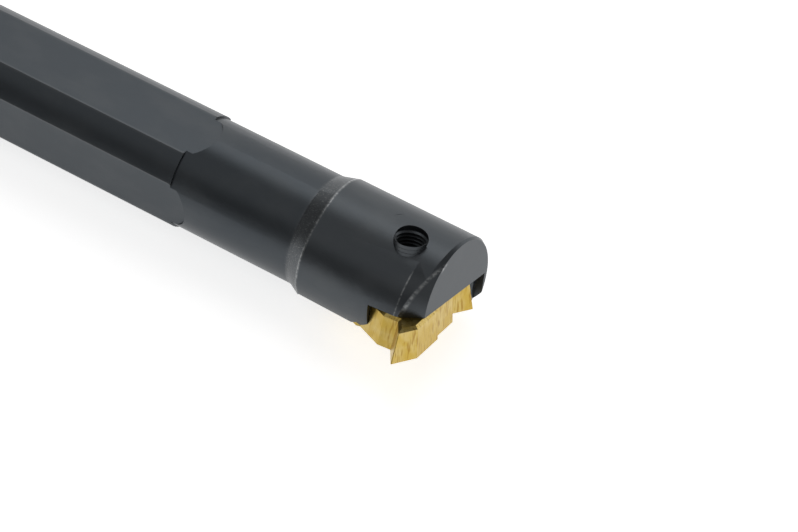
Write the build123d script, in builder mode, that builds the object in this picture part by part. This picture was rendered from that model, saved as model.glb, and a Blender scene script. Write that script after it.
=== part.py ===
"""Internal threading boring bar with a screw-on three-corner carbide insert.

The bar lies along +X with its cutting end at +X and its rake side down, so +Z points out of the
bar's back. The cutting point is on the -Y side. The origin is on the bar's axis, at its rear end
face. All sizes are in millimetres.
"""

from math import cos, radians, sin, sqrt, tan
import os

from build123d import *

# Bar
bar_length = 125.0  # rear end face to the cutting point
shank_diameter = 12.7
shank_end_chamfer = 0.8
across_flats = 11.1
flat_cutter_radius = 3.2
flat_overrun = 2.1  # the flats run this far past the shoulder
neck_diameter = 12.26
neck_reach = 29.8  # cutting point back to the shoulder
head_diameter = 13.3
head_reach = 13.5  # cutting point back to the full head diameter
head_cone_length = 1.85
front_stock = 3.0  # blank ahead of the cutting point, milled away at the front

# Eccentric nose that carries the insert out to the cutting side
nose_diameter = 12.4
nose_root_shift = 0.9  # towards -Y at the head's rear edge
nose_front_shift = 1.2  # towards -Y where the nose starts to narrow
nose_front_rise = 0.1  # towards +Z there
nose_foot_depth = 0.2  # the nose's rear cone starts this far inside the neck
nose_taper_reach = 2.1  # the nose narrows from this far behind the cutting point
nose_taper_angle = 8.0
front_cone_reach = 0.1  # cutting point back to where the front cone has the head's diameter
front_cone_angle = 34.0
front_cone_shift = 0.45  # towards the far side, so the cone is deepest on the cutting side

# Cutting point, and the two angles that tip the insert
point_offset = 10.75  # bar axis to the cutting point
roll_angle = 17.0  # about the bar axis, for clearance in the bore
lead_angle = 5.5  # the rake face drops towards the front

# Insert
insert_circle = 9.525  # inscribed circle
insert_thickness = 3.52
point_setback = 0.6  # point inside the triangle, across the bar
point_inset = 1.53  # point inside the triangle, along the bar
point_radius = 0.08
tooth_height = 2.25
flank_half_angle = 30.0
rear_relief = 0.3  # the side behind the tooth is ground back by this much
rear_relief_end = 8.6  # along the side, from the triangle's corner
clearance_angle = 7.0
seat_chamfer = 0.3
insert_hole_diameter = 4.0

# Insert screw
thread_diameter = 3.5
thread_clearance = 0.05
screw_head_diameter = 5.2
screw_head_sink = 0.3  # screw head below the rake face
screw_cone_angle = 60.0
screw_length = 7.2
screw_tip_chamfer = 0.4
socket_depth = 1.3
socket_diameter = 2.7
socket_lobe_radius = 0.42

# Pocket, chip space and screw hole
pocket_clearance = 0.05
corner_relief_diameter = 3.0
pocket_wall_end = 6.3  # the cutting side is open in front of this, from the triangle's corner
chip_flat_height = 3.95  # bar axis to the flat beside the rake face
chip_wall_reach = 13.3  # cutting point back to the foot of the flat's rear wall
chip_wall_lean = 32.0
front_setback = 0.25  # front face behind the insert's seat edge, at the cutting corner
front_turn = 3.9  # the front face runs forward towards the far side by this angle
spot_face_diameter = 6.9
spot_face_height = 6.9  # bar axis to the spot face
tool_travel = 20.0  # cutters run this far past the bar

# Derived sizes
head_radius = head_diameter / 2
nose_radius = nose_diameter / 2
shoulder_x = bar_length - neck_reach
head_x = bar_length - head_reach
cone_x = head_x - head_cone_length
end_x = bar_length + front_stock
nose_taper_x = bar_length - nose_taper_reach
side_length = insert_circle * sqrt(3)
side_reach = side_length * sqrt(3) / 2
seat_inset = insert_thickness * tan(radians(clearance_angle))

# The rake plane has its origin at the sharp corner of the insert's triangle beside the cutting
# point, x towards the cutting end, y towards the cutting side and z out of the rake face.
roll, lead = radians(roll_angle), radians(lead_angle)
rake_x = Vector(cos(lead), sin(lead) * sin(roll), sin(lead) * cos(roll))
rake_y = Vector(0, -cos(roll), sin(roll))
rake_z = Vector(sin(lead), -cos(lead) * sin(roll), -cos(lead) * cos(roll))
cutting_point = Vector(bar_length, -point_offset, 0)
rake_plane = Plane(
    origin=cutting_point + rake_x * point_inset + rake_y * point_setback,
    x_dir=rake_x,
    z_dir=rake_z,
)
seat_plane = rake_plane.offset(-insert_thickness)
centre = (-side_reach / 3, -side_length / 2)
hole_plane = Plane(origin=seat_plane.from_local_coords(centre), x_dir=rake_x, z_dir=rake_z)


def at_corner(place, corner):
    """Turn a place at the insert's first corner about its centre to corner 1 or 2."""
    angle = radians(120 * corner)
    x, y = place[0] - centre[0], place[1] - centre[1]
    return (centre[0] + x * cos(angle) - y * sin(angle), centre[1] + x * sin(angle) + y * cos(angle))


# Each corner of the insert has a front flank, a point, a rear flank, a floor, and a relief that
# runs out at the triangle's side.
flank_slope = tan(radians(flank_half_angle))
flank_foot = (0, -point_setback - point_inset / flank_slope)
tooth_point = (-point_inset, -point_setback)
tooth_root = (-point_inset - tooth_height * flank_slope, -point_setback - tooth_height)
floor_end = ((tooth_root[1] + 2 * rear_relief / sqrt(3)) * sqrt(3), tooth_root[1])
relief_end = (
    (-rear_relief_end * sqrt(3) + rear_relief) / 2,
    (-rear_relief_end - rear_relief * sqrt(3)) / 2,
)
side_start = (-(rear_relief_end + rear_relief) * sqrt(3) / 2, -(rear_relief_end + rear_relief) / 2)
corner_outline = [flank_foot, tooth_point, tooth_root, floor_end, relief_end, side_start]
insert_outline = [at_corner(place, corner) for corner in range(3) for place in corner_outline]

# Insert: pressed and ground carbide, with sides that lean in towards the seat and a screw hole
# whose cone matches the screw's head.
cone_slope = tan(radians(screw_cone_angle / 2))
screw_radius = thread_diameter / 2 - thread_clearance
insert_hole_radius = insert_hole_diameter / 2
screw_head_radius = screw_head_diameter / 2
cone_top_radius = screw_head_radius + screw_head_sink * cone_slope
cone_depth = (cone_top_radius - insert_hole_radius) / cone_slope
screw_plane = hole_plane.offset(insert_thickness)
across_plane = Plane(origin=screw_plane.origin, x_dir=rake_x, z_dir=rake_y * -1)

with BuildPart() as insert:
    with BuildSketch(rake_plane):
        with BuildLine():
            Polyline(insert_outline, close=True)
        make_face()
    extrude(amount=-insert_thickness, taper=clearance_angle)
    seat_edges = edges().filter_by_position(Axis(seat_plane.origin, rake_z), -0.01, 0.01)
    chamfer(seat_edges, seat_chamfer)
    tooth_middles = [
        seat_plane.offset(insert_thickness / 2).from_local_coords(at_corner(tooth_point, corner))
        for corner in range(3)
    ]
    fillet([edges().sort_by_distance(place)[0] for place in tooth_middles], point_radius)
    with BuildSketch(across_plane):
        with BuildLine():
            Polyline(
                (0, tool_travel),
                (cone_top_radius, tool_travel),
                (cone_top_radius, 0),
                (insert_hole_radius, -cone_depth),
                (insert_hole_radius, -tool_travel),
                (0, -tool_travel),
                close=True,
            )
        make_face()
    revolve(axis=Axis(screw_plane.origin, rake_z), mode=Mode.SUBTRACT)
insert.part.label = "insert"

# Insert screw: countersunk head with a six-lobed socket.
head_top = -screw_head_sink
with BuildPart() as insert_screw:
    with BuildSketch(across_plane):
        with BuildLine():
            Polyline(
                (0, head_top),
                (screw_head_radius, head_top),
                (insert_hole_radius, -cone_depth),
                (screw_radius, -cone_depth - (insert_hole_radius - screw_radius) / cone_slope),
                (screw_radius, -screw_length + screw_tip_chamfer),
                (screw_radius - screw_tip_chamfer, -screw_length),
                (0, -screw_length),
                close=True,
            )
        make_face()
    revolve(axis=Axis(screw_plane.origin, rake_z))
    with BuildSketch(screw_plane.offset(head_top)):
        Circle(socket_diameter / 2 - socket_lobe_radius / 2)
        with PolarLocations(socket_diameter / 2 - socket_lobe_radius, 6):
            Circle(socket_lobe_radius)
    extrude(amount=-socket_depth, mode=Mode.SUBTRACT)
insert_screw.part.label = "insert_screw"

# Bar: turned from one piece, then milled. The turned blank comes first: shank, neck, head cone
# and head on the bar's axis, and the nose, which leans out to the cutting side.
nose_root = (-nose_root_shift, 0)
nose_front = (-nose_front_shift, nose_front_rise)
with BuildPart() as bar_body:
    with BuildSketch(Plane.XZ):
        with BuildLine():
            Polyline(
                (0, 0),
                (0, shank_diameter / 2 - shank_end_chamfer),
                (shank_end_chamfer, shank_diameter / 2),
                (shoulder_x, shank_diameter / 2),
                (shoulder_x, neck_diameter / 2),
                (cone_x, neck_diameter / 2),
                (head_x, head_radius),
                (end_x, head_radius),
                (end_x, 0),
                close=True,
            )
        make_face()
    revolve(axis=Axis.X)
    with BuildSketch(Plane.YZ.offset(cone_x - nose_foot_depth)):
        Circle(neck_diameter / 2 - nose_foot_depth)
    with BuildSketch(Plane.YZ.offset(head_x)):
        with Locations(nose_root):
            Circle(nose_radius)
    loft()
    with BuildSketch(Plane.YZ.offset(head_x)):
        with Locations(nose_root):
            Circle(nose_radius)
    nose_lean = Vector(nose_taper_x - head_x, nose_root_shift - nose_front_shift, nose_front_rise)
    extrude(amount=nose_lean.length, dir=nose_lean)
    with BuildSketch(Plane.YZ.offset(nose_taper_x)):
        with Locations(nose_front):
            Circle(nose_radius)
    extrude(amount=end_x - nose_taper_x, taper=nose_taper_angle)

    # Cone that breaks the front edge, deepest on the cutting side.
    cone_plane = Plane(origin=(bar_length, front_cone_shift, 0), x_dir=(1, 0, 0), z_dir=(0, -1, 0))
    front_slope = tan(radians(front_cone_angle))
    apex = head_radius / front_slope - front_cone_reach
    with BuildSketch(cone_plane):
        with BuildLine():
            Polyline(
                (apex, 0),
                (apex - tool_travel / front_slope, tool_travel),
                (tool_travel, tool_travel),
                (tool_travel, 0),
                close=True,
            )
        make_face()
    revolve(axis=Axis(cone_plane.origin, (1, 0, 0)), mode=Mode.SUBTRACT)

    # Four clamping flats, each with a round run-out just past the shoulder.
    flat_end = shoulder_x + flat_overrun
    for turn in range(4):
        flat_plane = Plane.XY.rotated((90 * turn, 0, 0)).offset(across_flats / 2)
        with BuildSketch(flat_plane):
            with Locations((flat_end - flat_cutter_radius, 0)):
                Circle(flat_cutter_radius)
                Rectangle(flat_end, 2 * flat_cutter_radius, align=(Align.MAX, Align.CENTER))
        extrude(amount=tool_travel, mode=Mode.SUBTRACT)

    # Flat beside the rake face, parallel to the axis, with a rear wall that leans back.
    flat_normal = Vector(0, -sin(roll), -cos(roll))
    flat_profile = Plane(origin=(bar_length, 0, 0), x_dir=(1, 0, 0), z_dir=Vector(1, 0, 0).cross(flat_normal))
    wall_run = (tool_travel - chip_flat_height) * tan(radians(chip_wall_lean))
    with BuildSketch(flat_profile):
        with BuildLine():
            Polyline(
                (-chip_wall_reach, chip_flat_height),
                (tool_travel, chip_flat_height),
                (tool_travel, tool_travel),
                (-chip_wall_reach - wall_run, tool_travel),
                close=True,
            )
        make_face()
    extrude(amount=tool_travel, both=True, mode=Mode.SUBTRACT)

    # Pocket: the insert's triangle with clearance, open on the rake side. Its cutting-side wall
    # follows the relief on the insert's rear side.
    relief_step = 2 * rear_relief / sqrt(3)
    with BuildSketch(rake_plane) as pocket:
        with BuildLine():
            Polyline(
                (0, -relief_step),
                relief_end,
                side_start,
                (-side_reach, -side_length / 2),
                (0, -side_length),
                close=True,
            )
        make_face()
        offset(amount=pocket_clearance, kind=Kind.INTERSECTION)
    extrude(amount=-insert_thickness, taper=clearance_angle, mode=Mode.SUBTRACT)
    extrude(pocket.sketch, amount=tool_travel, mode=Mode.SUBTRACT)

    # Corner reliefs in the pocket, its open front, and the open cutting side ahead of its wall.
    wall_foot = -pocket_wall_end / sqrt(3) - relief_step - 2 * seat_inset / sqrt(3)
    with BuildSketch(seat_plane):
        with Locations(at_corner(tooth_point, 1), at_corner(tooth_point, 2)):
            Circle(corner_relief_diameter / 2)
        with Locations((-seat_inset - seat_chamfer, -side_length), (-pocket_wall_end, wall_foot)):
            Rectangle(2 * tool_travel, 2 * tool_travel, align=(Align.MIN, Align.MIN))
    extrude(amount=tool_travel, mode=Mode.SUBTRACT)

    # Front face, milled across the whole end.
    turn = radians(front_turn)
    front_plane = Plane(
        origin=seat_plane.from_local_coords((-seat_inset - seat_chamfer - front_setback, 0)),
        x_dir=rake_y * cos(turn) - rake_x * sin(turn),
        z_dir=rake_x * cos(turn) + rake_y * sin(turn),
    )
    with BuildSketch(front_plane):
        Rectangle(2 * tool_travel, 2 * tool_travel)
    extrude(amount=tool_travel, mode=Mode.SUBTRACT)

    # Tapped hole through to the back, with a shallow spot face where it comes out.
    with BuildSketch(hole_plane):
        Circle(thread_diameter / 2)
    extrude(amount=-tool_travel, mode=Mode.SUBTRACT)
    axis_level = hole_plane.to_local_coords(Vector(hole_plane.origin.X, 0, 0)).Z
    with BuildSketch(hole_plane.offset(axis_level - spot_face_height)):
        Circle(spot_face_diameter / 2)
    extrude(amount=-tool_travel, mode=Mode.SUBTRACT)
bar_body.part.label = "bar_body"

os.makedirs("parts", exist_ok=True)
export_step(bar_body.part, "parts/bar_body.step")
export_step(insert.part, "parts/insert.step")
export_step(insert_screw.part, "parts/insert_screw.step")
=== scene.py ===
from math import pi, radians

import bpy
from mathutils import Euler, Matrix, Vector


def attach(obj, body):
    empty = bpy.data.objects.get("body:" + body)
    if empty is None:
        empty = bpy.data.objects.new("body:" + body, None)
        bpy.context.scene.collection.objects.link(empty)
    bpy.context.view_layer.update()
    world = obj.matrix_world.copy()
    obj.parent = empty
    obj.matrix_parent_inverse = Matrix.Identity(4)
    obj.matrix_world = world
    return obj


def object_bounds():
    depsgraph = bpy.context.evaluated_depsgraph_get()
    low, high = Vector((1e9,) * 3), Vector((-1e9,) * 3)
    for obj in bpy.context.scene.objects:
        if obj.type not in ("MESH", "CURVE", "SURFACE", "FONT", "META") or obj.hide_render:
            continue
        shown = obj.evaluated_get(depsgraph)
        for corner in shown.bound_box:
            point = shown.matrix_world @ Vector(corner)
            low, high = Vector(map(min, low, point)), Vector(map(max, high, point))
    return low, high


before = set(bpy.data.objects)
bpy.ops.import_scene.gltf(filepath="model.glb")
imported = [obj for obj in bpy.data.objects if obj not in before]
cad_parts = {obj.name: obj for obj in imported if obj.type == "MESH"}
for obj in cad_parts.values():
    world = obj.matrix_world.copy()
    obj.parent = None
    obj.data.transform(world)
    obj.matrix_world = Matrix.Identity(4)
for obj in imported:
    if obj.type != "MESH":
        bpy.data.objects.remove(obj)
cad_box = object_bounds()
bpy.ops.object.select_all(action="DESELECT")

# Bar body. One piece of steel, turned to shank, neck and head, milled for its flats and pocket,
# and blackened in a hot oxide bath. Handling has worn its sharpest edges through to the steel, and
# the bright lines painted along its edges and creases are partly that wear and partly painted edge
# highlight. Its cone and head are painted lighter, a painted highlight and sheen.
MM = 0.001

# Places on the bar, in millimetres. The first five run along it from its rear end.
SHOULDER = 95.2
HEAD_CONE_FOOT = 109.65
HEAD_EDGE = 111.5
NOSE_CREASE = 122.9
FRONT_CREASE = 125.8  # level with the bar's axis
FRONT_CREASE_SLOPE = 0.34  # runs forward by this share of the way to the far side
FLAT_HEIGHT = 5.55  # bar axis to a flat
FLAT_EDGE = 3.08  # middle of a flat to its long edge
FLAT_CORNER_REACH = 0.2  # a flat's bright edge line, partly worn steel and partly painted edge highlight, reaches this far above and below the flat
FLAT_RUN_OUT = 2.2  # the flats' edges fade out over this much past the shoulder
BAND_BLUR = 0.3  # the painted highlight and scratches on the head's cone fade in over this much either way of its foot
EDGE_BLUR = 0.1  # and changes over this much either way of the head's edge

# Half widths of the bright lines along edges and creases, partly worn steel and partly painted edge
# highlight, in millimetres
RING_LINE = 0.22
NOSE_LINE = 0.14
FRONT_LINE = 0.25
FLAT_LINE = 0.3

# Squared distances from the bar's axis over which a crease of the nose starts to show its bright line,
# partly wear and partly painted edge highlight
NOSE_CLEAR = (46.0, 48.0)
FRONT_CLEAR = (34.0, 36.0)

BLACK_OXIDE = (0.062, 0.070, 0.078, 1)
PALE_OXIDE = (0.095, 0.102, 0.108, 1)
BARE_STEEL_AND_HIGHLIGHT = (0.42, 0.43, 0.43, 1)

# How far each place is made lighter, from random wear and painted highlight and sheen, and how far it
# shows bright steel, from wear and painted edge highlight, from 0 to 1
CLOUD_RUB = 0.35
FLAT_EDGE_WEAR_AND_HIGHLIGHT = 0.8
CONE_PAINTED_HIGHLIGHT = 0.9
HEAD_PAINTED_SHEEN = 0.35
EDGE_LINE_WEAR_AND_HIGHLIGHT = 0.75
SCRATCH_BARE = 0.5

OXIDE_ROUGHNESS = 0.33
CLOUD_ROUGHNESS = 0.1
BARE_POLISH = 0.1
TURNING_SHARE = 0.6  # of the oxide's relief, the rest being its grain


class Value:
    """A number that varies over a surface. Arithmetic on it adds Math nodes to its material."""

    def __init__(self, finish, socket):
        self.finish = finish
        self.socket = socket

    def math(self, operation, *numbers):
        return self.finish.add("ShaderNodeMath", {"operation": operation}, dict(enumerate(numbers)))

    def __add__(self, other):
        return self.math("ADD", self, other)

    def __sub__(self, other):
        return self.math("SUBTRACT", self, other)

    def __rsub__(self, other):
        return self.math("SUBTRACT", other, self)

    def __mul__(self, other):
        return self.math("MULTIPLY", self, other)

    def __abs__(self):
        return self.math("ABSOLUTE", self)

    __radd__ = __add__
    __rmul__ = __mul__


class Finish:
    """A material under a plain name, built up from nodes around one Principled shader."""

    MIX_SHARE, MIX_UNDER, MIX_OVER = 0, 6, 7  # a Mix node repeats its sockets' names
    MIX_RESULT = 2

    def __init__(self, name, **constants):
        self.material = bpy.data.materials.new(name)
        self.material.use_nodes = True
        self.tree = self.material.node_tree
        self.shader = self.tree.nodes["Principled BSDF"]
        for socket, value in constants.items():
            self.shader.inputs[socket.replace("_", " ")].default_value = value
        self.place = self.add("ShaderNodeTexCoord", {}, {}, "Object")

    def add(self, kind, settings, inputs, output=0):
        """Add a node: its settings first, then the values or links of its sockets."""
        node = self.tree.nodes.new(kind)
        for name, value in settings.items():
            setattr(node, name, value)
        for name, value in inputs.items():
            if isinstance(value, Value):
                self.tree.links.new(value.socket, node.inputs[name])
            else:
                node.inputs[name].default_value = value
        return Value(self, node.outputs[output])

    def feed(self, **values):
        for socket, value in values.items():
            self.tree.links.new(value.socket, self.shader.inputs[socket.replace("_", " ")])

    def along(self, axis):
        """The place along one axis, in millimetres from the piece's origin."""
        return self.add("ShaderNodeSeparateXYZ", {}, {0: self.place}, axis) * (1 / MM)

    def noise(self, cells, turn=(0, 0, 0), detail=3.0):
        """Noise over the piece, with cells of these sizes in millimetres along its turned axes."""
        sizes = [cell * MM for cell in cells]
        inputs = {"Vector": self.place, "Rotation": turn, "Scale": sizes}
        place = self.add("ShaderNodeMapping", {"vector_type": "TEXTURE"}, inputs)
        return self.add("ShaderNodeTexNoise", {}, {"Vector": place, "Scale": 1.0, "Detail": detail})

    def step(self, value, low, high):
        """Rise smoothly from 0 at low to 1 at high."""
        inputs = {"Value": value, "From Min": low, "From Max": high}
        return self.add("ShaderNodeMapRange", {"interpolation_type": "SMOOTHSTEP"}, inputs)

    def near(self, value, middle, reach):
        """1 where value is at its middle, down to 0 at its reach on either side."""
        return 1 - self.step(abs(value - middle), 0.0, reach)

    def mix(self, share, under, over):
        """The colour under, covered by this share of the colour over."""
        inputs = {self.MIX_SHARE: share, self.MIX_UNDER: under, self.MIX_OVER: over}
        return self.add("ShaderNodeMix", {"data_type": "RGBA"}, inputs, self.MIX_RESULT)

    def bump(self, height, depth):
        """A relief of this depth in millimetres."""
        return self.add("ShaderNodeBump", {}, {"Height": height, "Strength": 1.0, "Distance": depth * MM})


oxide = Finish("black_oxide", Metallic=0.9)
x, y, z = (oxide.along(axis) for axis in range(3))
off_axis = y * y + z * z
cloud = oxide.noise(cells=(5.0, 3.0, 3.0))
chips = oxide.noise(cells=(0.5, 0.35, 0.35), detail=5.0)
turning = oxide.noise(cells=(0.12, 6.0, 6.0), detail=2.0)
grain = oxide.noise(cells=(0.15, 0.15, 0.15))
scratching = oxide.noise(cells=(0.5, 0.06, 0.06), detail=2.0)

# Bright lines along the head's edge, the nose's creases and the flats' edges: steel worn through the
# oxide, and painted edge highlight.
ring_line = oxide.near(x, HEAD_EDGE, RING_LINE)
nose_line = oxide.near(x, NOSE_CREASE, NOSE_LINE) * oxide.step(off_axis, *NOSE_CLEAR)
front_line = oxide.near(x - y * FRONT_CREASE_SLOPE, FRONT_CREASE, FRONT_LINE)
front_line = front_line * oxide.step(off_axis, *FRONT_CLEAR)
flat_line = oxide.near(abs(y), FLAT_EDGE, FLAT_LINE) * oxide.near(abs(z), FLAT_HEIGHT, FLAT_CORNER_REACH)
flat_line = flat_line + (
    oxide.near(abs(z), FLAT_EDGE, FLAT_LINE) * oxide.near(abs(y), FLAT_HEIGHT, FLAT_CORNER_REACH)
)
flat_line = flat_line * oxide.step(x, SHOULDER + FLAT_RUN_OUT, SHOULDER)
# The head's cone is painted lighter as a painted highlight, with scratches worn to steel in it.
cone_highlight_and_scratch_band = oxide.step(x, HEAD_CONE_FOOT - BAND_BLUR, HEAD_CONE_FOOT + BAND_BLUR)
cone_highlight_and_scratch_band = cone_highlight_and_scratch_band * oxide.step(x, HEAD_EDGE + EDGE_BLUR, HEAD_EDGE - EDGE_BLUR)
# The head, which faces the camera, is painted lighter than the neck: a painted sheen.
head = oxide.step(x, HEAD_EDGE - EDGE_BLUR, HEAD_EDGE + EDGE_BLUR)

# Lighter oxide from random rubbing and worn flat edges, with painted highlight on the cone and painted
# sheen on the head; bright steel along worn edges, partly painted edge highlight.
wear_and_painted_sheen = oxide.step(cloud, low=0.4, high=0.75) * CLOUD_RUB + flat_line * FLAT_EDGE_WEAR_AND_HIGHLIGHT
wear_and_painted_sheen = wear_and_painted_sheen + cone_highlight_and_scratch_band * CONE_PAINTED_HIGHLIGHT + head * HEAD_PAINTED_SHEEN
scratches = oxide.step(scratching, low=0.55, high=0.75)
wear_and_painted_highlight = (ring_line + nose_line + front_line) * oxide.step(chips, low=0.25, high=0.75) * EDGE_LINE_WEAR_AND_HIGHLIGHT
wear_and_painted_highlight = wear_and_painted_highlight + cone_highlight_and_scratch_band * scratches * SCRATCH_BARE
colour = oxide.mix(wear_and_painted_sheen, BLACK_OXIDE, PALE_OXIDE)
oxide.feed(
    Base_Color=oxide.mix(wear_and_painted_highlight, colour, BARE_STEEL_AND_HIGHLIGHT),
    Roughness=cloud * CLOUD_ROUGHNESS + OXIDE_ROUGHNESS - wear_and_painted_highlight * BARE_POLISH,
    Normal=oxide.bump(turning * TURNING_SHARE + grain * (1 - TURNING_SHARE), depth=0.006),
)
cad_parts["bar_body"].data.materials[0] = oxide.material

# Thread in the bar. The screw's hole is tapped right through, and the thread shows from the back
# where the hole comes out. It is cut in the bar's own steel and blackened with it.
ROLL, LEAD = radians(17), radians(5.5)  # how the insert and its hole are tipped
RAKE_MIDDLE = Vector((121.782, -3.526, -2.533)) * MM  # hole axis at the insert's rake face
THREAD_PITCH = 0.42 * MM
THREAD_TURNS = 5
THREAD_START = 7.55 * MM  # from the rake face, just past the end of the screw
GROOVE_RADIUS = 1.76 * MM
CREST_RADIUS = 1.53 * MM
CREST_WIDTH = 0.08 * MM
ROOT_WIDTH = 0.38 * MM
STEPS_A_TURN = 64
SHARP_EDGE = radians(30)

profile_middle = (GROOVE_RADIUS + CREST_RADIUS) / 2
bpy.ops.mesh.primitive_plane_add(
    size=1,
    location=(profile_middle, 0, THREAD_START),
    rotation=(pi / 2, 0, 0),
)
thread = bpy.context.object
thread.name = "tapped_thread"
thread.scale = (GROOVE_RADIUS - CREST_RADIUS, ROOT_WIDTH, 1)
bpy.ops.object.transform_apply()
bpy.ops.object.mode_set(mode="EDIT")
bpy.ops.mesh.delete(type="ONLY_FACE")
bpy.ops.object.mode_set(mode="OBJECT")
for vertex in thread.data.vertices:
    vertex.select = vertex.co.x < profile_middle
for edge in thread.data.edges:
    edge.select = all(thread.data.vertices[corner].select for corner in edge.vertices)
bpy.ops.object.mode_set(mode="EDIT")
bpy.ops.transform.resize(value=(1, 1, CREST_WIDTH / ROOT_WIDTH))
bpy.ops.object.mode_set(mode="OBJECT")
winding = thread.modifiers.new("winding", "SCREW")
winding.screw_offset = THREAD_PITCH
winding.iterations = THREAD_TURNS
winding.steps = winding.render_steps = STEPS_A_TURN
winding.use_smooth_shade = False
bpy.ops.object.modifier_apply(modifier="winding")
bpy.ops.object.mode_set(mode="EDIT")
bpy.ops.mesh.select_all(action="SELECT")
bpy.ops.mesh.fill_holes(sides=4)
bpy.ops.mesh.normals_make_consistent(inside=False)
bpy.ops.object.mode_set(mode="OBJECT")
thread.rotation_euler = Euler((-ROLL, -LEAD, 0), "YXZ")
thread.location = RAKE_MIDDLE
bpy.ops.object.transform_apply()
bpy.ops.object.shade_smooth_by_angle(angle=SHARP_EDGE)
thread.data.materials.append(oxide.material)
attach(thread, "root")
bpy.ops.object.select_all(action="DESELECT")

# Insert. Pressed and sintered carbide, ground on its flanks and coated in gold titanium nitride.
# The grinding lines run through its thickness, and the coating is paler where it is thickest.
GOLD_COATING = (0.52, 0.36, 0.075, 1)
PALE_COATING = (0.60, 0.46, 0.17, 1)
GRIND_SHADOW = (0.32, 0.17, 0.025, 1)
SHADOW_STRENGTH = 0.7
GOLD_ROUGHNESS = 0.26
PATCH_ROUGHNESS = 0.14
GRIND_SHARE = 0.9  # of the coating's relief, the rest being its fine grain
THROUGH_HOLE = (-ROLL, -LEAD, 0)  # turns a pattern to follow the insert's hole

gold = Finish("gold_coating", Metallic=1.0)
patch = gold.noise(cells=(1.6, 1.6, 1.6), turn=THROUGH_HOLE)
grind = gold.noise(cells=(0.22, 0.22, 3.5), turn=THROUGH_HOLE, detail=2.0)
fine = gold.noise(cells=(0.08, 0.08, 0.08))
coating = gold.mix(gold.step(patch, low=0.35, high=0.7), GOLD_COATING, PALE_COATING)
shadow = gold.step(grind, low=0.52, high=0.7) * SHADOW_STRENGTH
gold.feed(
    Base_Color=gold.mix(shadow, coating, GRIND_SHADOW),
    Roughness=patch * PATCH_ROUGHNESS + GOLD_ROUGHNESS,
    Normal=gold.bump(grind * GRIND_SHARE + fine * (1 - GRIND_SHARE), depth=0.03),
)
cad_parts["insert"].data.materials[0] = gold.material

# Insert screw. Hardened steel with a cone under its head and a six-lobed socket, blackened.
# It is forged and rolled, so its grain is fine and even.
SCREW_ROUGHNESS = 0.28
GRAIN_ROUGHNESS = 0.12

screw_black = Finish("screw_black", Metallic=0.9)
screw_grain = screw_black.noise(cells=(0.2, 0.2, 0.2))
screw_black.feed(
    Base_Color=screw_black.mix(screw_grain, BLACK_OXIDE, PALE_OXIDE),
    Roughness=screw_grain * GRAIN_ROUGHNESS + SCREW_ROUGHNESS,
    Normal=screw_black.bump(screw_grain, depth=0.004),
)
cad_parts["insert_screw"].data.materials[0] = screw_black.material

# Floor. A sheet of white opal, lit from below as on a light table, which fills in the shadows.
# It lies level with the lowest part of the tool.
FLOOR_SIZE = 3.0
OPAL = (0.93, 0.93, 0.93, 1)
WHITE = (1, 1, 1, 1)

lowest = Vector(cad_box[0])
bpy.ops.mesh.primitive_plane_add(size=FLOOR_SIZE, location=(lowest.x, 0, lowest.z))
floor = bpy.context.object
floor.name = "floor"
opal = Finish("white_opal", Base_Color=OPAL, Roughness=0.9, Emission_Color=WHITE, Emission_Strength=0.75)
floor.data.materials.append(opal.material)

# Studio light. A strong soft light overhead and a wide one behind the bar, with weaker ones in front
# of it and at its cutting end, and one low on the far side. The side towards the camera gets the
# least light, so the round bar shades off to black there.
AIM = Vector((0.105, 0, 0))  # the bar's neck
WORLD_STRENGTH = 0.12


def soft_light(name, direction, distance, size, radiance):
    """A square soft light that faces the bar's neck from a direction, as bright as stated."""
    lamp = bpy.data.lights.new(name, "AREA")
    lamp.size = size
    lamp.energy = radiance * pi * size**2
    holder = bpy.data.objects.new(name, lamp)
    bpy.context.scene.collection.objects.link(holder)
    holder.location = AIM + Vector(direction).normalized() * distance
    holder.rotation_euler = (AIM - holder.location).to_track_quat("-Z", "Y").to_euler()


soft_light("back_softbox", direction=(-0.3, 0.75, 0.5), distance=1.0, size=1.1, radiance=0.95)
soft_light("overhead_softbox", direction=(-0.3, 0.33, 0.9), distance=0.8, size=0.36, radiance=1.6)
soft_light("front_softbox", direction=(-0.3, -0.45, 0.8), distance=0.9, size=0.7, radiance=0.42)
soft_light("end_softbox", direction=(0.95, -0.1, 0.3), distance=0.9, size=0.6, radiance=0.6)
soft_light("far_softbox", direction=(0.5, 0.85, 0.22), distance=0.9, size=0.5, radiance=1.2)
world = bpy.data.worlds.new("studio")
world.use_nodes = True
background = world.node_tree.nodes["Background"]
background.inputs["Color"].default_value = WHITE
background.inputs["Strength"].default_value = WORLD_STRENGTH
bpy.context.scene.world = world
bpy.context.scene.view_settings.view_transform = "Standard"

# Camera. It looks down on the bar's back from beyond the cutting end, a little turned.
CAMERA_PLACE = Vector((206.22, -162.30, 217.46)) * MM
CAMERA_RIGHT = Vector((0.85101, 0.52273, 0.05032))
CAMERA_DOWN = Vector((0.42711, -0.63320, -0.64547))
FOCAL_LENGTH = 126.9  # millimetres, as is the sensor's width
SENSOR_WIDTH = 36
NEAREST_SEEN = 0.01  # metres from the lens

lens = bpy.data.cameras.new("camera")
lens.lens = FOCAL_LENGTH
lens.sensor_width = SENSOR_WIDTH
lens.clip_start = NEAREST_SEEN
camera = bpy.data.objects.new("camera", lens)
bpy.context.scene.collection.objects.link(camera)
backwards = CAMERA_RIGHT.cross(-CAMERA_DOWN)
facing = Matrix((CAMERA_RIGHT, -CAMERA_DOWN, backwards)).transposed().to_4x4()
camera.matrix_world = Matrix.Translation(CAMERA_PLACE) @ facing
bpy.context.scene.camera = camera
